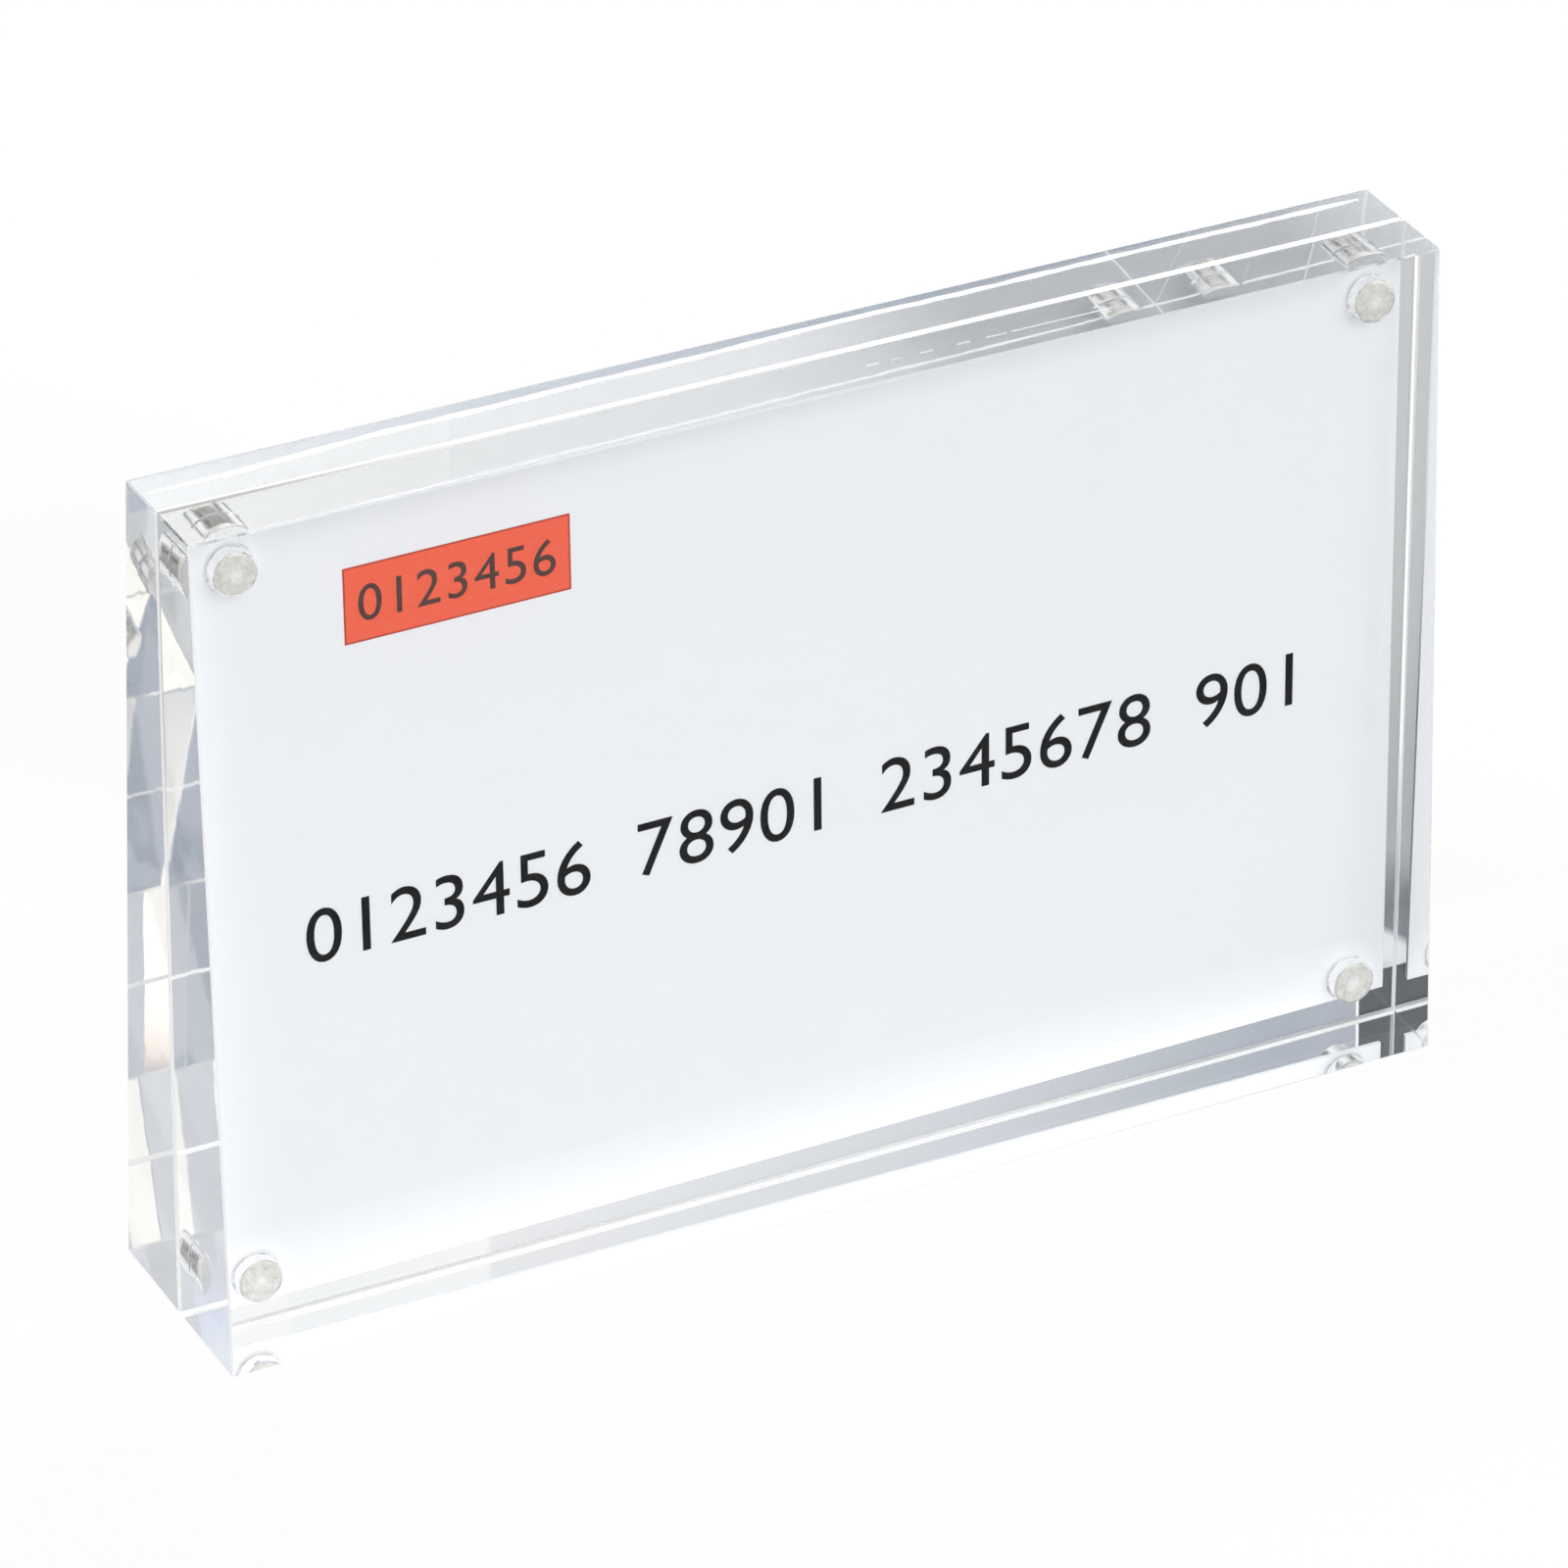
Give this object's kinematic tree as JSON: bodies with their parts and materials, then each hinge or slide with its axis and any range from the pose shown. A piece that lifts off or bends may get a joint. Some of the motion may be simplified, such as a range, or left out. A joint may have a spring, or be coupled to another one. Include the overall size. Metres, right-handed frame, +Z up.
{
  "type": "acrylic sign holder",
  "caption": "Clear acrylic block sign holder: wedge-shaped front and rear blocks close on a printed card and are held by magnets sunk near the corners of their mating faces.",
  "frame": {"origin": "on the table, under the middle of the seam between the two blocks", "axes": "+X along the width to the viewer's right, +Y from the front block to the rear block, +Z up"},
  "size_m": [0.15, 0.028, 0.1],
  "materials": {
    "acrylic": "clear cast acrylic, diamond polished on every face",
    "nickel": "nickel plating, a little dull",
    "glue": "cured clear glue, warm grey with bubbles",
    "card": null
  },
  "bodies": {
    "rear": {"rear_block": "acrylic", "rear_magnet_top_left": "nickel", "rear_magnet_top_right": "nickel", "rear_magnet_bottom_left": "nickel", "rear_magnet_bottom_right": "nickel", "rear_glue_top_left": "glue", "rear_glue_top_right": "glue", "rear_glue_bottom_left": "glue", "rear_glue_bottom_right": "glue"},
    "front": {"front_block": "acrylic", "front_magnet_top_left": "nickel", "front_magnet_top_right": "nickel", "front_magnet_bottom_left": "nickel", "front_magnet_bottom_right": "nickel", "front_glue_top_left": "glue", "front_glue_top_right": "glue", "front_glue_bottom_left": "glue", "front_glue_bottom_right": "glue"},
    "card": {"sign_card": "card"}
  },
  "joints": [
    {"name": "front_pull", "type": "slide", "parent": "rear", "child": "front", "axis": [0, -1, 0], "range_m": [0, 0.06]},
    {"name": "card_lift", "type": "slide", "parent": "rear", "child": "card", "axis": [0, 0, 1], "range_m": [0, 0.11]}
  ]
}
